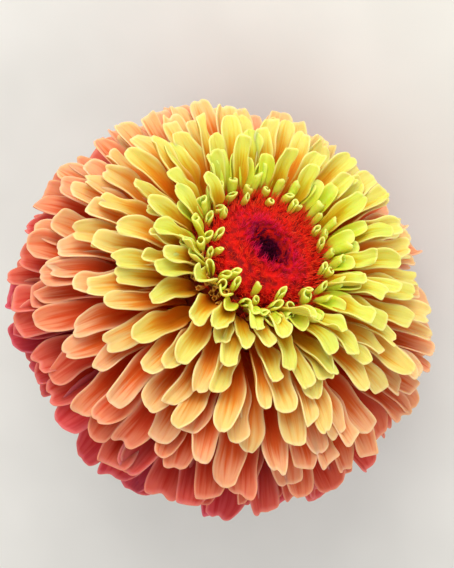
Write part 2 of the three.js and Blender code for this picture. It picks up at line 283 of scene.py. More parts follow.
def make_stem():
    bm = bmesh.new()
    length = STEM_TOP - STEM_END
    middle = Matrix.Translation((0, 0, STEM_END + length / 2))
    bmesh.ops.create_cone(
        bm, cap_ends=True, segments=STEM_SIDES, radius1=1, radius2=1, depth=length, matrix=middle
    )
    for ring in range(1, STEM_RINGS):
        height = Vector((0, 0, STEM_END + length * ring / STEM_RINGS))
        everything = bm.verts[:] + bm.edges[:] + bm.faces[:]
        bmesh.ops.bisect_plane(bm, geom=everything, plane_co=height, plane_no=(0, 0, 1))
    cut_face = min(bm.faces, key=lambda face: face.calc_center_median().z)
    bmesh.ops.inset_individual(bm, faces=[cut_face], thickness=1 - PITH_RADIUS / STEM_RADIUS)
    bmesh.ops.inset_individual(bm, faces=[cut_face], thickness=PITH_LIP)
    bmesh.ops.translate(bm, verts=cut_face.verts, vec=(0, 0, PITH_DEPTH))
    for vert in bm.verts:
        height = vert.co.z
        angle = math.atan2(vert.co.y, vert.co.x)
        outer = smooth(PITH_RADIUS / STEM_RADIUS, 1, vert.co.xy.length)
        swell = stem_radius(height) * (1 + outer * RIB_HEIGHT * math.cos(STEM_RIBS * angle))
        cut = 1 - smooth(STEM_END, STEM_END + CUT_REACH, height)
        vert.co.z += CUT_SLANT * vert.co.x * STEM_RADIUS * cut
        vert.co.xy *= swell
        vert.co.x += stem_centre(height)
        vert.co = kept_over_floor(vert.co)
    bmesh.ops.recalc_face_normals(bm, faces=bm.faces)
    return object_of(bm, "stem_skin", "stem_green", stem_finish())


def stem_finish():
    finish = Finish("stem_skin", Roughness=0.48, Subsurface_Weight=0.08, Subsurface_Scale=0.002)
    place = finish.position()
    patch = finish.noise(place, 260, 3).smooth(0.35, 0.7)
    streak = finish.noise(finish.node("ShaderNodeMapping", values={0: place, 3: (1, 0.06, 1)}), 2600)
    green = finish.blend(STEM_DARK, STEM_GREEN, streak.smooth(0.3, 0.7))
    blushed = finish.blend(green, STEM_BLUSH, patch * 0.35)
    # The cut is the part furthest from the bloom.
    _, y, z = finish.parts(place)
    along = (y - HEAD_PLACE.y) * math.cos(LYING_ANGLE) - (z - HEAD_PLACE.z) * math.sin(LYING_ANGLE)
    cut = along.smooth(-STEM_END * MM - 0.0002, -STEM_END * MM + 0.0006)
    finish.shade("Base Color", finish.blend(blushed, PITH_PALE, cut * 0.8))
    finish.shade("Roughness", 0.42 + 0.2 * streak)
    finish.bump(streak, 0.35, 0.0002)
    return finish


def make_stem_hairs():
    bm = bmesh.new()
    draw = seeded_draw(HAIR_SEED)
    for number in range(HAIR_COUNT):
        height = mix(STEM_END + 1.5, STEM_TOP - 0.5, (number + 0.5) / HAIR_COUNT)
        angle = number * GOLDEN_ANGLE + 0.4 * draw()
        length = HAIR_LENGTH * (1 + 0.35 * draw())
        stand = Matrix.Rotation(math.radians(HAIR_LEAN + 14 * draw()), 4, "Y")
        out = Matrix.Translation((stem_radius(height) - 0.1, 0, 0))
        spin = Matrix.Rotation(angle, 4, "Z")
        up = Matrix.Translation((stem_centre(height), 0, height))
        hair = up @ spin @ out @ stand @ Matrix.Translation((0, 0, length / 2))
        if (LAID_DOWN @ hair).translation.z > HAIR_ROOM * HAIR_LENGTH * MM:
            bmesh.ops.create_cone(
                bm, segments=3, radius1=HAIR_RADIUS, radius2=0.1 * HAIR_RADIUS, depth=length, matrix=hair
            )
    return object_of(bm, "stem_hairs", "stem_green", hair_finish())


def hair_finish():
    finish = Finish("stem_hair", Roughness=0.4, Subsurface_Weight=0.1, Subsurface_Scale=0.001)
    tint = finish.mottle(900)
    finish.shade("Base Color", finish.blend(STEM_GREEN, HAIR_PALE, tint))
    return finish


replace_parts(make_stem(), "stem")
make_stem_hairs()


# ---- Bract cup ----
# The green cup under the bloom, with three rows of blunt bracts that overlap like roof tiles. Each is
# leathery, paler at the edge, and ends in a dark fringed margin; the cup grows from the top of the stem.

SEAT_GAP = 0.3
CORE_RADIUS = 12.2
CORE_BOTTOM_RADIUS = 7.6
CORE_BOTTOM = -7.4
CORE_WIDENING = 12
CUP_RIM_RADIUS = 9.4
CUP_BOTTOM = STEM_TOP + SEAT_GAP
CUP_RIM = CORE_BOTTOM + 1.2
BRACT_ROWS = [
    {"count": 6, "low": 0.05, "high": 0.62, "width": 5.6},
    {"count": 8, "low": 0.3, "high": 0.88, "width": 5.6},
    {"count": 10, "low": 0.56, "high": 1.1, "width": 5.4},
]
BRACT_SEED = 12
BRACT_STAND = 0.9  # how far its tip stands off the cup
BRACT_ARCH = -0.16
BRACT_CUP = -0.1
BRACT_CELLS = (8, 9)  # across and along
BRACT_SINK = 0.5
BRACT_THICKNESS = 0.5
CUP_STEPS = 56
FRINGE_SEED = 88
FRINGE_HAIRS = 9
FRINGE_SPREAD = 0.9  # share of the width
FRINGE_LENGTH = 0.75
FRINGE_HAIR = (0.09, 0.02)  # radius at the foot and at the tip

BRACT_GREEN = (84, 118, 48)
BRACT_PALE = (132, 152, 74)
BRACT_MARGIN = (52, 34, 26)
FRINGE_TIP = (96, 62, 40)

# The blade of a petal or bract along its length, in shares of the length from the root.
NOSE = 0.03
CLAW_WIDTH = 0.2
CLAW_END = 0.02
BLADE_START = 0.66
ROUNDING_START = 0.87
ROUNDING_REACH = 0.185


def core_radius_at(height):
    widening = smooth(CORE_BOTTOM, CORE_BOTTOM + CORE_WIDENING, height)
    return mix(CORE_BOTTOM_RADIUS, CORE_RADIUS, widening)


def half_width(petal, along):
    flare = mix(CLAW_WIDTH, 1, smooth(CLAW_END, BLADE_START, along))
    rounding = 1 - (max(0, along - ROUNDING_START) / ROUNDING_REACH) ** 2
    return 0.5 * petal["width"] * flare * math.sqrt(max(0, rounding))


def petal_point(petal, along, across, lift=0.0):
    """A point of a petal: along runs from 0 at the root to 1 at the tip, across from -1 to 1 between the
    edges, and lift is over the blade. The middle is a quadratic curve over the chord from root to tip."""
    root_r, root_z = petal["root"]
    chord_r, chord_z = petal["tip"][0] - root_r, petal["tip"][1] - root_z
    bend_r = chord_r / 2 - petal["arch"] * chord_z
    bend_z = chord_z / 2 + petal["arch"] * chord_r
    pull = 2 * along * (1 - along)
    radius = root_r + pull * bend_r + along * along * chord_r
    height = root_z + pull * bend_z + along * along * chord_z
    steer = 2 * (1 - 2 * along)
    heading = Vector((steer * bend_r + 2 * along * chord_r, steer * bend_z + 2 * along * chord_z))
    heading.normalize()

    outward = Vector((math.cos(petal["azimuth"]), math.sin(petal["azimuth"]), 0))
    sideways = Vector((-outward.y, outward.x, 0))
    upward = -heading.y * outward + Vector((0, 0, heading.x))
    tangent = heading.x * outward + Vector((0, 0, heading.y))
    centre = radius * outward + Vector((0, 0, height)) + petal["swerve"] * along * along * sideways
    turn = Quaternion(tangent, petal["roll"] * along)
    half = half_width(petal, along)
    rise = 2 * half * petal["cup"] * across * across + lift
    return centre + turn @ (across * half * sideways + rise * upward)


def cup_at(share):
    swell = math.sin(min(1, share) * math.radians(90)) ** 0.8
    return mix(STEM_TOP_RADIUS, CUP_RIM_RADIUS, swell), mix(CUP_BOTTOM, CUP_RIM, share**1.4)


def revolved(bm, profile, steps):
    """Spins a profile of (radius, height) points round the flower's axis."""
    verts = [bm.verts.new((radius, 0, height)) for radius, height in profile]
    edges = [bm.edges.new(pair) for pair in zip(verts, verts[1:])]
    whole = {"axis": (0, 0, 1), "cent": (0, 0, 0), "angle": 2 * math.pi, "use_merge": True}
    bmesh.ops.spin(bm, geom=verts + edges, steps=steps, **whole)
    bmesh.ops.remove_doubles(bm, verts=bm.verts, dist=1e-4)
    bmesh.ops.recalc_face_normals(bm, faces=bm.faces)


def float_layers(bm, *names):
    """Numbers that the drawn vertices carry for their material, by name."""
    return {name: bm.verts.layers.float.new(name) for name in names}


def walled(piece, thickness, offset=0.0, inner_material=0):
    """Gives a sheet its thickness, in millimetres."""
    wall = piece.modifiers.new("wall", "SOLIDIFY")
    wall.thickness = thickness * MM
    wall.offset = offset
    wall.material_offset = inner_material
    return piece


def smoother(piece):
    modifier = piece.modifiers.new("smoother", "SUBSURF")
    modifier.levels = 1
    modifier.render_levels = 1
    return piece


def sheet(bm, cells):
    """The vertices of a flat grid that runs from -1 to 1 both ways, for bending into a blade."""
    grid = bmesh.ops.create_grid(bm, x_segments=cells[0], y_segments=cells[1], size=1, calc_uvs=True)
    return grid["verts"]


def bract_shapes():
    draw = seeded_draw(BRACT_SEED)
    for row_number, row in enumerate(BRACT_ROWS):
        for number in range(row["count"]):
            turn = number + 0.5 * (row_number % 2) + 0.06 * draw()
            low, high = cup_at(row["low"]), cup_at(row["high"])
            yield {
                "azimuth": turn * 2 * math.pi / row["count"],
                "root": (low[0] - BRACT_SINK, low[1] + BRACT_SINK),
                "tip": (high[0] + BRACT_STAND, high[1] - 0.1),
                "arch": BRACT_ARCH,
                "width": row["width"],
                "cup": BRACT_CUP,
                "roll": 0,
                "swerve": 0,
            }


def make_cup():
    bm = bmesh.new()
    inner = core_radius_at(CUP_RIM) + SEAT_GAP
    floor = CORE_BOTTOM - SEAT_GAP
    wall = [cup_at(share / 8) for share in range(9)]
    revolved(bm, [(0, CUP_BOTTOM), *wall, (inner, CUP_RIM), (inner, floor), (0, floor)], CUP_STEPS)
    return object_of(bm, "cup_wall", "bract_green", bract_finish("cup_wall_green"))


def make_bracts():
    bm = bmesh.new()
    layers = float_layers(bm, "edge")
    for shape in bract_shapes():
        for vert in sheet(bm, BRACT_CELLS):
            across, share = -vert.co.x, (vert.co.y + 1) / 2
            along = share + NOSE * (1 - across * across) * smooth(0.6, 1, share)
            side = smooth(0.75, 1, abs(across)) * smooth(0.4, 0.8, share)
            vert[layers["edge"]] = max(smooth(0.7, 1.02, along), side)
            vert.co = petal_point(shape, along, across, BRACT_SINK)
    bmesh.ops.recalc_face_normals(bm, faces=bm.faces)
    bracts = object_of(bm, "bracts", "bract_green", bract_finish("bract_leather"))
    return smoother(walled(bracts, BRACT_THICKNESS))


def make_bract_fringe():
    bm = bmesh.new()
    draw = seeded_draw(FRINGE_SEED)
    for shape in bract_shapes():
        for number in range(FRINGE_HAIRS):
            across = mix(-FRINGE_SPREAD, FRINGE_SPREAD, number / (FRINGE_HAIRS - 1))
            tip = 1 + NOSE * (1 - across * across)
            foot = petal_point(shape, tip, across, BRACT_SINK)
            before = petal_point(shape, tip - 0.1, 0.8 * across, BRACT_SINK)
            way = (foot - before).normalized()
            length = FRINGE_LENGTH * (1 + 0.3 * draw())
            pointed = way.to_track_quat("Z", "Y").to_matrix().to_4x4()
            place = Matrix.Translation(foot + 0.4 * length * way) @ pointed
            bmesh.ops.create_cone(
                bm, segments=3, radius1=FRINGE_HAIR[0], radius2=FRINGE_HAIR[1], depth=length, matrix=place
            )
    fringe = Finish("bract_fringe", Roughness=0.6)
    tint = fringe.mottle(1500)
    fringe.shade("Base Color", fringe.blend(BRACT_MARGIN, FRINGE_TIP, tint))
    return object_of(bm, "bract_fringe", "bract_green", fringe)


def bract_finish(name):
    finish = Finish(name, Roughness=0.55, Subsurface_Weight=0.05, Subsurface_Scale=0.001)
    mottle = finish.mottle(500, 3)
    edge = finish.attribute("edge")
    paleness = mottle * 0.5 + edge.smooth(0.0, 0.55) * 0.4
    green = finish.blend(BRACT_GREEN, BRACT_PALE, paleness)
    finish.shade("Base Color", finish.blend(green, BRACT_MARGIN, edge.smooth(0.5, 0.95)))
    finish.shade("Roughness", 0.45 + 0.2 * mottle)
    finish.bump(mottle, 0.4, 0.0002)
    return finish


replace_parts(make_cup(), "bract_cup")
make_bracts()
make_bract_fringe()


# ---- Receptacle ----
# The fleshy core that every petal grows from: a squat cone standing in the cup of bracts. Only its dark
# red and brown flesh deep between the petals ever shows.

CORE_TOP = 19.4
CORE_STEPS = (12, 48)  # up and round

FLESH_RED = (124, 16, 10)
FLESH_BROWN = (150, 70, 24)


def make_receptacle():
    bm = bmesh.new()
    heights = [mix(CORE_BOTTOM, CORE_TOP, step / CORE_STEPS[0]) for step in range(CORE_STEPS[0] + 1)]
    side = [(core_radius_at(height), height) for height in heights]
    revolved(bm, [(0, CORE_BOTTOM), *side, (0, CORE_TOP)], CORE_STEPS[1])
    flesh = Finish("receptacle_flesh", Roughness=0.6, Specular_IOR_Level=0.2)
    mottle = flesh.mottle(700, 3)
    flesh.shade("Base Color", flesh.blend(FLESH_RED, FLESH_BROWN, mottle * 0.6))
    flesh.bump(mottle, 0.5, 0.0003)
    return object_of(bm, "receptacle", "petal_coral", flesh)


make_receptacle()


# ---- Petals ----
# The ray florets: soft spoon-shaped petals in eight or nine tiers, 240 of them each a golden angle on from
# the last, and some 80 more between the tiers. The old ones lean back and are coral, the middle ones are
# orange and the young ones yellow, all with pale margins round a darker veined middle. The paleness of the
# margins is partly their own colour and partly a painted highlight where the raised margins catch the
# light.

BLOOM_RADIUS = 37.5
DOME_HEIGHT = 32
SKIRT_DEPTH = 31
FIRST_TIP = math.radians(28)
LAST_TIP = math.radians(119)
PETAL_GROUPS = [
    {"name": "yellow", "count": 75, "roots": (17.4, 11.1)},
    {"name": "orange", "count": 95, "roots": (8.9, 2.7)},
    {"name": "coral", "count": 70, "roots": (1, -3.6)},
]
SPIRAL_SEED = 2024  # of the draws that the solids share
SOFT_SEED = 311
PETAL_COUNT = sum(group["count"] for group in PETAL_GROUPS)
ROOT_SINK = 1.25
PETAL_WIDTH = (3.1, 7.4)
PETAL_ARCH = (0.2, 0.17)
PETAL_CUP = 0.22
TIP_CROWDING = 1.25
WIDTH_GROWTH = 1.1
WANDER = {
    "tip_angle": math.radians(2.4),
    "reach": 0.035,
    "azimuth": math.radians(2.5),
    "arch": 0.05,
    "width": 0.12,
    "cup": 0.07,
    "roll": math.radians(20),
    "swerve": 2.0,
}
FLOOR_TOUCH = -0.35
SWING_STEP = math.radians(1)
SWING_LIMIT = math.radians(59)

# The petals between the tiers: each lies in the gap between a petal of the rule and its lower neighbours.
BETWEEN_SHARE = 0.36  # how many of the gaps hold one
BETWEEN_FIRST = 2  # the first petal of the spiral with one under it
BETWEEN_DROP = 18  # in numbers of the spiral
BETWEEN_TURN = math.radians(1)
BETWEEN_WIDTH = 0.9
BETWEEN_SEED = 50
BETWEEN_SOFT_SEED = 87

# The soft form of the living petal, on top of the rule that places it.
PETAL_CELLS = (8, 12)  # across and along
SKIN_THICKNESS = 0.36
CROWDING = 1.5  # draws the rows of a petal's mesh together towards its tip
EDGE_WAVES = 2.6  # half waves along a margin
EDGE_WAVE = 0.5
EDGE_RIPPLE = 0.26
EDGE_PINCH = 0.15  # share of the width by which the margins swing in and out
FOLD = 0.14
EDGE_CURL = 0.08  # how far the margins rise over the cup of the rule, as a share of the width
TIP_NOTCH = 0.036
NOTCH_SPREAD = 0.3
TIP_SKEW = 0.03
TIP_POINT = 0.8  # how far the tips range from square to pointed
TIP_DROOP = 1.2
GROOVE = 0.28
GROOVE_SPREAD = 0.26
PRESSED_LIFT = 0.2  # how high over the floor the middle of a pressed petal's skin lies

TIP_COLOURS = [
    (0.0, (212, 220, 94)),
    (0.22, (230, 216, 114)),
    (0.38, (242, 200, 130)),
    (0.5, (244, 178, 132)),
    (0.62, (237, 150, 110)),
    (0.74, (224, 114, 88)),
    (0.85, (212, 87, 84)),
    (1.0, (207, 76, 90)),
]
# The pale rims of the petals: partly their own colour and partly a painted highlight on the raised edges.
RIM_AND_HIGHLIGHT_COLOURS = [
    (0.0, (238, 234, 134)),
    (0.22, (248, 224, 148)),
    (0.38, (252, 214, 160)),
    (0.5, (252, 200, 160)),
    (0.68, (246, 162, 134)),
    (0.84, (236, 124, 122)),
    (1.0, (230, 110, 130)),
]
MIDDLE_COLOURS = [
    (0.0, (210, 208, 48)),
    (0.18, (230, 188, 54)),
    (0.34, (236, 152, 56)),
    (0.46, (232, 116, 50)),
    (0.62, (219, 85, 42)),
    (0.74, (200, 60, 40)),
    (0.85, (190, 50, 50)),
    (1.0, (182, 44, 62)),
]
CLAW_COLOURS = [
    (0.0, (198, 152, 18)),
    (0.22, (230, 124, 16)),
    (0.44, (228, 76, 14)),
    (0.7, (206, 42, 22)),
    (1.0, (160, 30, 46)),
]
UNDERSIDE_COLOURS = [
    (0.0, (190, 190, 80)),
    (0.3, (208, 156, 78)),
    (0.6, (206, 112, 78)),
    (0.85, (182, 78, 72)),
    (1.0, (160, 64, 68)),
]


def petal_rule(number, root_height, draw):
    out = number / (PETAL_COUNT - 1)
    tip_cosine = mix(math.cos(FIRST_TIP), math.cos(LAST_TIP), out**TIP_CROWDING)
    tip_angle = math.acos(tip_cosine) + WANDER["tip_angle"] * draw()
    reach = 1 + WANDER["reach"] * draw()
    depth = DOME_HEIGHT if tip_cosine > 0 else SKIRT_DEPTH
    return {
        "out": out,
        "azimuth": number * GOLDEN_ANGLE + WANDER["azimuth"] * draw(),
        "root": (core_radius_at(root_height) - ROOT_SINK, root_height),
        "tip": (BLOOM_RADIUS * reach * math.sin(tip_angle), depth * reach * math.cos(tip_angle)),
        "arch": mix(*PETAL_ARCH, out) + WANDER["arch"] * draw(),
        "width": mix(*PETAL_WIDTH, out**WIDTH_GROWTH) * (1 + WANDER["width"] * draw()),
        "cup": PETAL_CUP + WANDER["cup"] * draw(),
        "roll": WANDER["roll"] * draw(),
        "swerve": WANDER["swerve"] * draw(),
    }


def pressed_by_floor(petal):
    """A petal that would dip under the floor is swung about its root until it only touches."""
    (root_r, root_z), (tip_r, tip_z) = petal["root"], petal["tip"]
    chord = Vector((tip_r - root_r, tip_z - root_z))
    leans_back = math.atan2(chord.y, chord.x) < -LYING_ANGLE
    step = -SWING_STEP if leans_back else SWING_STEP
    pressed = petal
    swing = 0.0
    while abs(swing) < SWING_LIMIT:
        low = min(
            (LAID_DOWN @ petal_point(pressed, along, across)).z / MM
            for along in (0.84, 1)
            for across in (-1, 0, 1)
        )
        if low >= FLOOR_TOUCH:
            break
        swing += step
        turned = Matrix.Rotation(swing, 2) @ chord
        pressed = {**petal, "tip": (root_r + turned.x, root_z + turned.y)}
    return pressed


def add_petal(bm, petal, layers, draw):
    """Bends one grid into a soft spoon: a grooved trough with waved margins and a blunt drooping tip."""
    wave_phase, wave_count = math.pi * draw(), EDGE_WAVES + 0.8 * draw()
    notch, skew = TIP_NOTCH * max(0, 0.3 + draw()), TIP_SKEW * draw()
    droop, curl = TIP_DROOP * (0.4 + draw()), EDGE_CURL * (1 + 0.7 * draw())
    tone = draw()
    for vert in sheet(bm, PETAL_CELLS):
        across, share = -vert.co.x, 1 - (0.5 - 0.5 * vert.co.y) ** CROWDING
        tip = smooth(0.72, 1, share)
        nose = NOSE * (1 + TIP_POINT * math.sin(9 * tone)) * (1 - across * across)
        nose += skew * across - notch * math.exp(-((across / NOTCH_SPREAD) ** 2))
        turns = wave_count * math.pi * share
        wave = EDGE_WAVE * math.sin(turns + wave_phase + across) * across**2
        wave += EDGE_RIPPLE * math.sin(2.3 * turns - wave_phase - 2 * across) * across**4
        groove = -GROOVE * math.exp(-((across / GROOVE_SPREAD) ** 2)) * (1 - 0.7 * tip)
        rim = 1 - (1 - across * across) * (1 - smooth(0.85, 1, share))
        pinch = 1 + EDGE_PINCH * math.sin(1.9 * turns + 2 * wave_phase + 1.4 * across)
        lift = smooth(0.15, 0.6, share) * (wave + groove + curl * petal["width"] * rim)
        fold = FOLD * math.sin(7.5 * across + 3 * tone) * smooth(0.2, 0.6, share)
        lift += fold - droop * tip * tip
        point = petal_point(petal, min(share + tip * nose, 1 + NOSE), pinch * across, lift)
        vert.co = kept_over_floor(point, PRESSED_LIFT)
        vert[layers["out"]] = petal["out"]
        vert[layers["tone"]] = tone


def make_petals(name, slot, petals, skins, seed):
    bm = bmesh.new()
    bm.loops.layers.uv.new("UVMap")
    layers = float_layers(bm, "out", "tone")
    draw = seeded_draw(seed)
    for petal in petals:
        add_petal(bm, petal, layers, draw)
    return smoother(walled(object_of(bm, name, slot, *skins), SKIN_THICKNESS, inner_material=1))


def petal_fields(finish):
    """Across from 0 at the middle to 1 at the edge, along, and streaks that differ on every petal."""
    across_map, along_map, _ = finish.parts(finish.node("ShaderNodeUVMap", {"uv_map": "UVMap"}))
    across = (across_map * 2 - 1).size()
    along = 1 - (1 - along_map) ** CROWDING
    tone = finish.attribute("tone")
    streaks = finish.noise(finish.joined(across_map * 8, along * 2.4, tone * 40), 1)
    veins = ((across_map * 2 - 1) * 26 + tone * 2).sine() * 0.5 + 0.5
    return across, along, tone, streaks, veins


def petal_skin(name):
    finish = Finish(
        name + "_skin",
        Roughness=0.55,
        Subsurface_Weight=0.45,
        Subsurface_Scale=0.003,
        Subsurface_Radius=(1.0, 0.4, 0.1),
        Specular_IOR_Level=0.08,
    )
    across, along, tone, streaks, veins = petal_fields(finish)
    out = (finish.attribute("out") + tone * 0.06).clipped()
    claw = finish.ramp(out, CLAW_COLOURS)
    middle = finish.ramp(out, MIDDLE_COLOURS)
    tip = finish.ramp(out, TIP_COLOURS)
    flame = along + (streaks - 0.5) * 0.5
    bladed = finish.blend(claw, middle, flame.smooth(0.5, 0.86))
    # The sides of the blade are paler: partly the petal's own pale margins and partly a painted highlight
    # on the raised sides of the trough.
    side = across.smooth(0.45, 1.0) * along.smooth(0.5, 0.85) * 0.75
    pale = side.largest((flame + across * 0.05 + (0.6 - out) * 0.16).smooth(0.78, 1.02)) * 0.96
    colour = finish.blend(bladed, tip, pale)
    shaded = veins * 0.05 * (1 - pale) + streaks.smooth(0.45, 0.72) * 0.22 * (1 - pale * 0.6)
    colour = finish.blend(colour, claw, shaded.clipped())
    # The rim colour is partly the petal's own pale edge and partly a painted highlight along the raised
    # edge.
    rim = across.smooth(0.8, 1.0).largest(along.smooth(0.965, 1.0)) * along.smooth(0.4, 0.8)
    colour = finish.blend(colour, finish.ramp(out, RIM_AND_HIGHLIGHT_COLOURS), rim * 0.7)
    brightness = 1 + tone * 0.07
    grey = finish.joined(brightness, brightness, brightness)
    finish.shade("Base Color", finish.blend(colour, grey, 1.0, "MULTIPLY"))
    finish.shade("Roughness", 0.5 + 0.16 * streaks)
    finish.bump(veins * along.smooth(0.1, 0.4) * 0.5 + streaks, 0.2, 0.00015)
    return finish


def petal_underside(name):
    finish = Finish(
        name + "_underside",
        Roughness=0.6,
        Subsurface_Weight=0.4,
        Subsurface_Scale=0.0025,
        Subsurface_Radius=(1.0, 0.4, 0.12),
        Specular_IOR_Level=0.3,
    )
    across, _, tone, streaks, veins = petal_fields(finish)
    out = (finish.attribute("out") + tone * 0.035).clipped()
    pale = finish.ramp(out, UNDERSIDE_COLOURS)
    middle = finish.ramp(out, MIDDLE_COLOURS)
    rib = veins.smooth(0.6, 1.0) * 0.3 + streaks.smooth(0.4, 0.8) * 0.35 + across.smooth(0.5, 1) * 0.3
    finish.shade("Base Color", finish.blend(pale, middle, rib.clipped()))
    finish.shade("Roughness", 0.52 + 0.16 * streaks)
    finish.bump(veins + streaks * 0.6, 0.35, 0.0003)
    return finish


def between_petals(petals, seed):
    """The petals between the tiers of one colour, from the numbers that its own petals have."""
    draw = seeded_draw(seed)
    for number, neighbour in petals.items():
        root_height = neighbour["root"][1]
        shape = petal_rule(number, root_height, draw)
        shape["azimuth"] += BETWEEN_TURN - BETWEEN_DROP * GOLDEN_ANGLE
        shape["width"] *= BETWEEN_WIDTH
        if draw() < 2 * BETWEEN_SHARE - 1 and number >= BETWEEN_FIRST + BETWEEN_DROP:
            yield pressed_by_floor(shape)


petal_draw = seeded_draw(SPIRAL_SEED)
petal_number = 0
for petal_group in PETAL_GROUPS:
    own_petals = {}
    for place in range(petal_group["count"]):
        root = mix(*petal_group["roots"], place / (petal_group["count"] - 1))
        own_petals[petal_number] = pressed_by_floor(petal_rule(petal_number, root, petal_draw))
        petal_number += 1
    node, slot = "petals_" + petal_group["name"], "petal_" + petal_group["name"]
    skins = petal_skin(node), petal_underside(node)
    tiers = make_petals(node + "_soft", slot, own_petals.values(), skins, SOFT_SEED + petal_group["count"])
    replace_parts(tiers, node)
    between = between_petals(own_petals, BETWEEN_SEED + petal_group["count"])
    make_petals(node + "_between", slot, between, skins, BETWEEN_SOFT_SEED)


# ---- Young florets ----
# The youngest ray florets round the disc: lime green blades still rolled into open tubes with pale lips,
# in uneven rows. They stand on a narrow ring of the receptacle, and the outer ones have begun to unroll.

COLLAR_BOTTOM = CORE_TOP + SEAT_GAP
COLLAR_HEIGHT = 1.4
TUBE_SEEDS = (77, 78)  # of the draws that the solids share, and of the soft form's
TUBE_COUNT = 40
TUBE_RADIUS = 0.75
TUBE_LENGTH = (4.0, 5.6)
TUBE_LEAN = (math.radians(9), math.radians(30))
TUBE_RING = (11.0, 11.5)
TUBE_SINK = 1
TUBE_CELLS = (12, 8)
TUBE_WALL = 0.3
TUBE_SLIMNESS = 0.88  # against the stiff tubes of the solids
BUD_COUNT = 13  # the smallest tubes, just inside the disc's rim
BUD_RING = 9.9
BUD_LENGTH = 4.4
BUD_RADIUS = 0.55
BUD_CLOSING = 174
STRAP_SEED = 190
STRAP_COUNT = 38
STRAP_LENGTH = 8.4
STRAP_WIDTH = 2.6
STRAP_ARCH = 0.14
STRAP_CUP = 0.4
STRAP_LEAN = math.radians(40)
STRAP_RING = 11.3
STRAP_CELLS = (8, 9)

STAR_SEED = 61
STAR_RING = 13.6
STAR_RADIUS = (0.24, 0.44)  # at the foot and at the mouth
STAR_LENGTH = 3
STAR_SIDES = 10  # two for each lobe
STAR_WALL = 0.14
STAR_PATCHES = [
    {"azimuth": 68, "spread": 19, "count": 24},
    {"azimuth": 285, "spread": 9, "count": 9},
]

LIME_LIP = (238, 240, 122)
LIME_BODY = (214, 220, 54)
LIME_THROAT = (204, 216, 56)
LIME_FOOT = (206, 140, 30)
STRAP_FOOT = (214, 128, 26)
STAR_BROWN = (230, 152, 40)
STAR_YELLOW = (250, 214, 96)


def add_tube(bm, length, radius, closing, place, layers, draw):
    """Rolls one grid into a tube; closing is how far round it goes, in degrees either way."""
    slant = 0.4 + 0.25 * draw()
    tone = draw()
    for vert in sheet(bm, TUBE_CELLS):
        across, along = vert.co.x, (vert.co.y + 1) / 2
        angle = math.radians(across * mix(178, closing, along))
        swell = mix(0.45, 1, smooth(0, 0.75, along)) * (1 - 0.16 * smooth(0.85, 1, along))
        lip = slant * smooth(0.5, 1, along) * (math.cos(angle) + 0.2 * math.cos(3 * angle + tone))
        reach = radius * swell * (1 + 0.12 * math.cos(2 * angle + 2 * tone))
        bow = 0.7 * radius * along * along
        rolled = (reach * math.cos(angle) + bow, reach * math.sin(angle), along * length + lip)
        vert.co = place @ Vector(rolled)
        vert[layers["along"]] = along
        vert[layers["tone"]] = tone


def standing(azimuth, radius, height, lean, twist):
    """A place at a distance from the flower's axis, leaning outwards and turned about its own length."""
    return (
        Matrix.Rotation(azimuth, 4, "Z")
        @ Matrix.Translation((radius, 0, height))
        @ Matrix.Rotation(lean, 4, "Y")
        @ Matrix.Rotation(twist, 4, "Z")
    )


def make_rolled_florets():
    bm = bmesh.new()
    layers = float_layers(bm, "along", "tone")
    rule_draw, soft_draw = (seeded_draw(seed) for seed in TUBE_SEEDS)
    foot = COLLAR_BOTTOM + COLLAR_HEIGHT - TUBE_SINK
    for number in range(TUBE_COUNT):
        row = number % 2
        length = TUBE_LENGTH[row] + 0.9 * rule_draw()
        radius = TUBE_SLIMNESS * (TUBE_RADIUS + 0.2 * rule_draw())
        lean = TUBE_LEAN[row] + math.radians(6) * rule_draw()
        azimuth = (number + 0.3 * rule_draw()) * 2 * math.pi / TUBE_COUNT
        closing = 172 - row * 22 * (1 + soft_draw())
        place = standing(azimuth, TUBE_RING[row], foot, lean, math.radians(180 + 80 * soft_draw()))
        add_tube(bm, length, radius, closing, place, layers, soft_draw)
    for number in range(BUD_COUNT):
        azimuth = (number + 0.4 * soft_draw()) * 2 * math.pi / BUD_COUNT
        lean = math.radians(-4 + 12 * soft_draw())
        ring = BUD_RING + 0.5 * soft_draw()
        place = standing(azimuth, ring, foot, lean, math.radians(180 * soft_draw()))
        length, radius = BUD_LENGTH + 0.5 * soft_draw(), BUD_RADIUS + 0.08 * soft_draw()
        add_tube(bm, length, radius, BUD_CLOSING, place, layers, soft_draw)
    florets = object_of(bm, "florets_rolled", "floret_lime", floret_skin(), floret_throat())
    smoother(walled(florets, TUBE_WALL, inner_material=1))
    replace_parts(florets, "florets_lime")


def in_patch(azimuth):
    """Whether a place on the ring is inside one of the two gaps where the small disc florets show."""
    return any(
        math.cos(azimuth - math.radians(patch["azimuth"])) > math.cos(math.radians(0.6 * patch["spread"]))
        for patch in STAR_PATCHES
    )


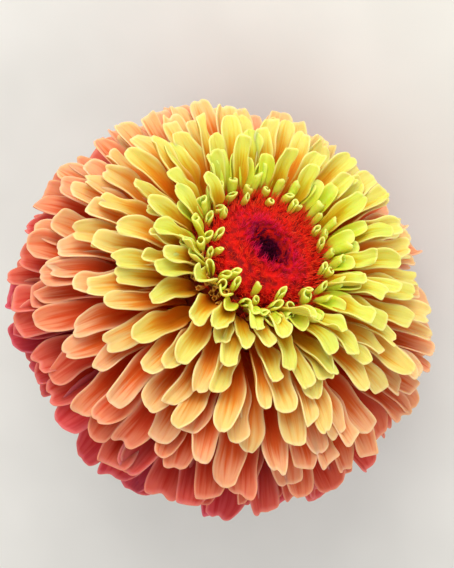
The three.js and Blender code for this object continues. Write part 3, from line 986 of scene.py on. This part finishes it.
def make_straps():
    """The oldest of the young florets: half unrolled into narrow troughs with a hooded tip."""
    bm = bmesh.new()
    layers = float_layers(bm, "along", "tone")
    draw = seeded_draw(STRAP_SEED)
    for number in range(STRAP_COUNT):
        lean = STRAP_LEAN + math.radians(9) * draw()
        length = STRAP_LENGTH * (1 + 0.2 * draw())
        root = (STRAP_RING, CORE_TOP - 1)
        azimuth = (number + 0.45 * draw()) * 2 * math.pi / STRAP_COUNT
        strap = {
            "azimuth": azimuth,
            "root": root,
            "tip": (root[0] + length * math.sin(lean), root[1] + length * math.cos(lean)),
            "arch": STRAP_ARCH + 0.07 * draw(),
            "width": STRAP_WIDTH * (1 + 0.15 * draw()),
            "cup": STRAP_CUP + 0.15 * draw(),
            "roll": math.radians(24) * draw(),
            "swerve": 0.9 * draw(),
        }
        tone = draw()
        if in_patch(azimuth):
            continue
        for vert in sheet(bm, STRAP_CELLS):
            across, along = -vert.co.x, (vert.co.y + 1) / 2
            nose = NOSE * (1 - across * across) * smooth(0.7, 1, along)
            hood = 0.5 * smooth(0.84, 1, along)
            vert.co = petal_point(strap, min(along + nose, 1 + NOSE), across, hood)
            vert[layers["along"]] = along
            vert[layers["tone"]] = tone
    straps = object_of(bm, "florets_unrolling", "floret_lime", strap_skin())
    return smoother(walled(straps, SKIN_THICKNESS))


def floret_skin():
    finish = Finish("floret_skin", Roughness=0.45, Subsurface_Weight=0.4, Subsurface_Scale=0.002)
    along, tone = finish.attribute("along"), finish.attribute("tone")
    mottle = finish.mottle(1300)
    body = finish.blend(LIME_FOOT, LIME_BODY, (along + mottle * 0.1).smooth(0.1, 0.5))
    lip = (along + tone * 0.02).smooth(0.84, 0.98)
    finish.shade("Base Color", finish.blend(body, LIME_LIP, (lip + mottle * 0.25).clipped()))
    finish.shade("Roughness", 0.38 + 0.14 * mottle)
    finish.bump(mottle, 0.2, 0.00015)
    return finish


def floret_throat():
    finish = Finish("floret_throat", Roughness=0.5, Subsurface_Weight=0.4, Subsurface_Scale=0.002)
    along = finish.attribute("along")
    mottle = finish.mottle(1300)
    lip = (along + mottle * 0.04).smooth(0.8, 0.98)
    finish.shade("Base Color", finish.blend(LIME_THROAT, LIME_LIP, lip))
    return finish


def strap_skin():
    finish = Finish("strap_skin", Roughness=0.5, Subsurface_Weight=0.4, Subsurface_Scale=0.002)
    along, tone = finish.attribute("along"), finish.attribute("tone")
    mottle = finish.mottle(900)
    body = finish.blend(STRAP_FOOT, LIME_BODY, (along + mottle * 0.12).smooth(0.3, 0.66))
    tip = (along + tone * 0.06).smooth(0.72, 1.02)
    finish.shade("Base Color", finish.blend(body, LIME_LIP, tip * 0.8))
    finish.shade("Roughness", 0.4 + 0.14 * mottle)
    finish.bump(mottle, 0.2, 0.00015)
    return finish


def make_disc_florets():
    """Small yellow-brown disc florets with five lobes, in two gaps between the young ray florets."""
    bm = bmesh.new()
    draw = seeded_draw(STAR_SEED)
    for patch in STAR_PATCHES:
        for _ in range(patch["count"]):
            azimuth = math.radians(patch["azimuth"] + patch["spread"] * draw())
            radius = STAR_RING + 1.5 * draw()
            height = CORE_TOP + 2 - 0.5 * (radius - STAR_RING) + 0.5 * draw()
            place = standing(azimuth, radius, height, math.radians(34 + 22 * draw()), math.pi * draw())
            mouth, length = STAR_RADIUS[1] + 0.07 * draw(), STAR_LENGTH + 0.5 * draw()
            cone = bmesh.ops.create_cone(
                bm, segments=STAR_SIDES, radius1=STAR_RADIUS[0], radius2=mouth, depth=length
            )["verts"]
            for number, vert in enumerate(vert for vert in cone if vert.co.z > 0):
                lobe = number % 2
                vert.co.xy *= 0.8 + 0.8 * lobe
                vert.co.z += 0.35 * lobe
            bmesh.ops.transform(bm, matrix=place, verts=cone)
    brown = Finish("disc_floret", Roughness=0.5)
    tint = brown.noise(brown.position(), 1500).smooth(0.35, 0.65)
    brown.shade("Base Color", brown.blend(STAR_BROWN, STAR_YELLOW, tint))
    stars = object_of(bm, "disc_florets_small", "floret_lime", brown)
    return smoother(walled(stars, STAR_WALL, offset=-1))


make_rolled_florets()
make_straps()
make_disc_florets()


# ---- Disc ----
# The middle of the bloom: a low cushion of red fringed scales, whose fine curling bristles hide the
# florets between them. They turn magenta towards the dark heart, where the scales are still closed.

COLLAR_INNER = 10.5  # the ring of young florets begins here
DISC_RADIUS = COLLAR_INNER - SEAT_GAP
DISC_BOTTOM = CORE_TOP + SEAT_GAP
DISC_TOP = 23.6
DISC_SHOULDER = 6.9
DISC_SLOPE = ((DISC_RADIUS, 2.4), (DISC_SHOULDER, 0.6))  # radius, and how far under the top
DISC_STEPS = 48
HEART_RADIUS = 2.9
HEART_DEPTH = 1.8
HEART_SPREAD = (5.0, 2.6)  # the dark heart is an oval, longer one way
HEART_TURN = math.radians(14)  # between that way and the X axis
HALO = 2.0  # how far out the heart's tint reaches, in sizes of the oval
SCALE_SEED = 31
SCALE_COUNT = 396
SCALE_LEAN = (math.radians(-20), math.radians(22))  # from the heart to the disc's rim
SCALE_SINK = 0.5
FRINGE_RADIUS = 13.2  # the last scales stand between the young florets
RIM_DROP = 2
FRINGE_DROP = 0.55
TUFT_KINDS = 6
TUFT_SEED = 900
TUFT_SIDE = 0.42  # from its middle to its last bristle
BRISTLES = 9
BRISTLE_LENGTH = 2.1
BRISTLE_RADIUS = 0.095
BRISTLE_STEPS = 4
BRISTLE_TAPER = 0.72  # from step to step
BRISTLE_BEND = 46  # degrees, on average

BRISTLE_SCARLET = (255, 88, 40)
BRISTLE_DEEP = (214, 20, 12)
BRISTLE_PINK = (246, 84, 132)
CUSHION_DARK = (120, 8, 12)
HEART_TINTS = [
    (0.0, (44, 2, 26)),
    (0.3, (72, 2, 40)),
    (0.43, (156, 8, 68)),
    (0.54, (224, 20, 86)),
    (0.68, (242, 28, 78)),
    (0.82, (248, 36, 54)),
    (1.0, (250, 46, 24)),
]


def add_bristle(bm, bend, side, lean, length, draw):
    """A thin three-sided needle that curls over as it grows."""
    ring = bmesh.ops.create_circle(bm, segments=3, radius=BRISTLE_RADIUS)["verts"]
    foot = Matrix.Rotation(lean, 4, "Y") @ Matrix.Translation((0, side, 0))
    bmesh.ops.transform(bm, matrix=foot, verts=ring)
    way = Vector((math.sin(lean), 0.35 * draw(), math.cos(lean))).normalized()
    turn = Quaternion(Vector((draw(), 1.2, 0.3 * draw())).normalized(), bend / BRISTLE_STEPS)
    for _ in range(BRISTLE_STEPS):
        linked = (edge for vert in ring for edge in vert.link_edges if edge.other_vert(vert) in ring)
        grown = bmesh.ops.extrude_edge_only(bm, edges=list(dict.fromkeys(linked)))["geom"]
        ring = [part for part in grown if isinstance(part, bmesh.types.BMVert)]
        centre = sum((vert.co for vert in ring), Vector()) / 3
        taper = Matrix.Translation(centre) @ Matrix.Scale(BRISTLE_TAPER, 4) @ Matrix.Translation(-centre)
        onwards = Matrix.Translation(way * length / BRISTLE_STEPS)
        bmesh.ops.transform(bm, matrix=onwards @ taper, verts=ring)
        way = turn @ way
    bmesh.ops.pointmerge(bm, verts=ring, merge_co=sum((vert.co for vert in ring), Vector()) / 3)


def tuft_mesh(kind):
    """One fringed scale: a row of bristles that fan out and curl over."""
    bm = bmesh.new()
    draw = seeded_draw(TUFT_SEED + 17 * kind)
    for number in range(BRISTLES):
        side = mix(-TUFT_SIDE, TUFT_SIDE, number / (BRISTLES - 1))
        lean = math.radians(16 * draw())
        bend = math.radians(BRISTLE_BEND + 34 * draw())
        add_bristle(bm, bend, side, lean, BRISTLE_LENGTH * (1 + 0.25 * draw()), draw)
    bmesh.ops.recalc_face_normals(bm, faces=bm.faces)
    return mesh_of(bm, "tuft_" + str(kind))


def heart_share(point):
    """How far out a point of the disc lies: 0 in its middle and 1 where the tint of the heart ends."""
    turned = Matrix.Rotation(HEART_TURN, 2) @ point.xy
    return math.hypot(turned.x / HEART_SPREAD[0], turned.y / HEART_SPREAD[1]) / HALO


def add_tuft(bm, mesh, place, layers, tone):
    before = len(bm.verts)
    bm.from_mesh(mesh)
    bm.verts.ensure_lookup_table()
    new = bm.verts[before:]
    reach = max(vert.co.z for vert in new)
    foot = heart_share(place.translation)
    for vert in new:
        vert[layers["height"]] = max(0, vert.co.z / reach)
        vert.co = place @ vert.co
        vert[layers["heart"]] = mix(foot, heart_share(vert.co), 0.8)
        vert[layers["tone"]] = tone


def plant_tufts(name, slot, finish, places, draw):
    """One piece of fringed scales, one at each place; the draw is the one that the places come from."""
    tufts = [tuft_mesh(kind) for kind in range(TUFT_KINDS)]
    bm = bmesh.new()
    layers = float_layers(bm, "height", "heart", "tone")
    for number, place in enumerate(places):
        add_tuft(bm, tufts[number % TUFT_KINDS], place, layers, draw())
    for mesh in tufts:
        bpy.data.meshes.remove(mesh)
    return object_of(bm, name, slot, finish)


def disc_height(radius):
    beyond = max(0, radius - DISC_RADIUS)
    return DISC_TOP - RIM_DROP * smooth(HEART_RADIUS, DISC_RADIUS, radius) - FRINGE_DROP * beyond


def scale_places(draw):
    for number in range(SCALE_COUNT):
        spread = (number + 0.5) / SCALE_COUNT
        radius = math.sqrt(mix(HEART_RADIUS**2, FRINGE_RADIUS**2, spread)) + 0.2 * draw()
        lean = mix(*SCALE_LEAN, smooth(HEART_RADIUS, DISC_RADIUS, radius))
        lean += math.radians(12) * draw()
        twist = math.radians(60) * draw()
        yield standing(number * GOLDEN_ANGLE, radius, disc_height(radius) - SCALE_SINK, lean, twist)


def make_disc():
    draw = seeded_draw(SCALE_SEED)
    disc = plant_tufts("disc_bristles", "disc_red", bristle_finish(), scale_places(draw), draw)
    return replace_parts(disc, "disc_scales")


def make_disc_floor():
    bm = bmesh.new()
    base = [(0, DISC_BOTTOM), (DISC_RADIUS, DISC_BOTTOM)]
    slope = [(radius, DISC_TOP - drop) for radius, drop in DISC_SLOPE]
    brim = (HEART_RADIUS + 0.8, DISC_TOP - 0.2)
    dip = DISC_TOP - HEART_DEPTH
    revolved(bm, [*base, *slope, brim, (HEART_RADIUS, dip), (0, dip)], DISC_STEPS)
    flesh = Finish("disc_flesh", Roughness=0.7, Specular_IOR_Level=0.1)
    mottle = flesh.mottle(900, 3)
    flesh.shade("Base Color", flesh.blend(CUSHION_DARK, BRISTLE_DEEP, mottle))
    flesh.bump(mottle, 0.6, 0.0003)
    return object_of(bm, "disc_cushion", "disc_red", flesh)


def bristle_finish():
    finish = Finish("disc_bristle", Roughness=0.5, Specular_IOR_Level=0.15)
    height, heart, tone = (finish.attribute(name) for name in ("height", "heart", "tone"))
    mottle = finish.mottle(1500)
    tinted = finish.ramp(heart.clipped(), HEART_TINTS)
    outer = heart.smooth(0.6, 1.0)
    red = finish.blend(tinted, BRISTLE_SCARLET, ((mottle * 0.6 + tone * 0.3) * outer).clipped())
    halo = heart.smooth(0.3, 0.45) * (1 - outer)
    lit = finish.blend(red, BRISTLE_PINK, halo * height.smooth(0.6, 1) * 0.45)
    foot = (1 - height.smooth(0.0, 0.4)) * outer
    finish.shade("Base Color", finish.blend(lit, BRISTLE_DEEP, foot))
    finish.shade("Roughness", 0.42 + 0.2 * mottle)
    return finish


make_disc()
make_disc_floor()


# ---- Heart ----
# The unopened middle of the disc: dark maroon fringed scales of the same soft tissue as the red ones.
# They grow from the floor of a shallow dip in the disc and lean inwards over it.

HEART_SEED = 5
HEART_TUFTS = 34
HEART_LEAN = math.radians(-34)

HEART_TIP = (150, 10, 70)


def heart_places(draw):
    foot = DISC_TOP - HEART_DEPTH
    for number in range(HEART_TUFTS):
        radius = (HEART_RADIUS - 0.3) * math.sqrt((number + 0.5) / HEART_TUFTS)
        lean = HEART_LEAN + math.radians(10) * draw()
        twist = math.radians(80) * draw()
        yield standing(number * GOLDEN_ANGLE, radius, foot, lean, twist)


def make_heart():
    draw = seeded_draw(HEART_SEED)
    heart = plant_tufts("heart_bristles", "disc_dark", heart_finish(), heart_places(draw), draw)
    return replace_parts(heart, "disc_heart")


def heart_finish():
    finish = Finish("heart_bristle", Roughness=0.55, Specular_IOR_Level=0.08)
    height, heart, tone = (finish.attribute(name) for name in ("height", "heart", "tone"))
    tinted = finish.ramp((heart + tone * 0.04).clipped(), HEART_TINTS)
    finish.shade("Base Color", finish.blend(tinted, HEART_TIP, height.smooth(0.5, 1) * 0.25))
    return finish


make_heart()


# ---- Floor, light and camera ----
# A plain pale floor under plain soft studio light. The camera looks down on the lying flower at the angle
# at which the photograph looks on the bloom, and is rolled as the photograph is.

PHOTO_SIZE = (454, 568)
BLOOM_PIXELS = 426  # width of the bloom in the photograph
BLOOM_WIDTH = 77 * MM
VIEW_TILT = math.radians(35)  # between the flower's axis and the line of sight
VIEW_ROLL = math.radians(218)
VIEW_DISTANCE = 0.42
VIEW_SHIFT = (0.008, 0.04)
SENSOR = 36

SKY_STRENGTH = 0.78
LIGHTS = [
    {
        "name": "key",
        "direction": (0.5, -0.95, 0.68),
        "distance": 0.7,
        "size": 0.5,
        "power": 3.6,
        "colour": (1, 0.98, 0.94),
    },
    {
        "name": "fill",
        "direction": (-0.9, -0.2, 0.9),
        "distance": 0.8,
        "size": 0.6,
        "power": 0.6,
        "colour": (0.95, 0.98, 1),
    },
]

FLOOR_REACH = 4
FLOOR_COLOUR = (222, 220, 214)
FLOOR_LIGHT = (230, 228, 222)


def make_floor():
    bm = bmesh.new()
    bmesh.ops.create_grid(bm, x_segments=1, y_segments=1, size=FLOOR_REACH)
    floor = in_scene("studio_floor", mesh_of(bm, "studio_floor"))
    pale = Finish("studio_floor", Roughness=0.8)
    grain = pale.noise(pale.position(), 40).smooth(0.2, 0.8)
    pale.shade("Base Color", pale.blend(FLOOR_COLOUR, FLOOR_LIGHT, grain))
    floor.data.materials.append(pale.material)


def make_light(name, direction, distance, size, power, colour):
    lamp = bpy.data.lights.new(name, "AREA")
    lamp.energy = power
    lamp.shape = "DISK"
    lamp.size = size
    lamp.color = colour
    holder = in_scene(name, lamp)
    direction = Vector(direction).normalized()
    holder.location = HEAD_PLACE + direction * distance
    holder.rotation_mode = "QUATERNION"
    holder.rotation_quaternion = direction.to_track_quat("Z", "Y")


def make_camera():
    camera = bpy.data.cameras.new("camera")
    holder = in_scene("camera", camera)
    bpy.context.scene.camera = holder
    elevation = LYING_ANGLE + VIEW_TILT
    back = Vector((0, -math.cos(elevation), math.sin(elevation)))
    holder.location = HEAD_PLACE + back * VIEW_DISTANCE
    holder.rotation_mode = "QUATERNION"
    holder.rotation_quaternion = Quaternion(back, VIEW_ROLL) @ (-back).to_track_quat("-Z", "Y")
    view_height = BLOOM_WIDTH * PHOTO_SIZE[1] / BLOOM_PIXELS
    camera.sensor_width = SENSOR
    camera.lens = SENSOR * VIEW_DISTANCE / view_height
    camera.shift_x, camera.shift_y = VIEW_SHIFT
    camera.clip_start = 0.01


def make_sky():
    sky = bpy.data.worlds.new("studio")
    sky.use_nodes = True
    background = sky.node_tree.nodes["Background"]
    background.inputs["Color"].default_value = (1, 1, 1, 1)
    background.inputs["Strength"].default_value = SKY_STRENGTH
    bpy.context.scene.world = sky


make_floor()
for light in LIGHTS:
    make_light(**light)
make_sky()
make_camera()
bpy.context.scene.view_settings.view_transform = "Standard"
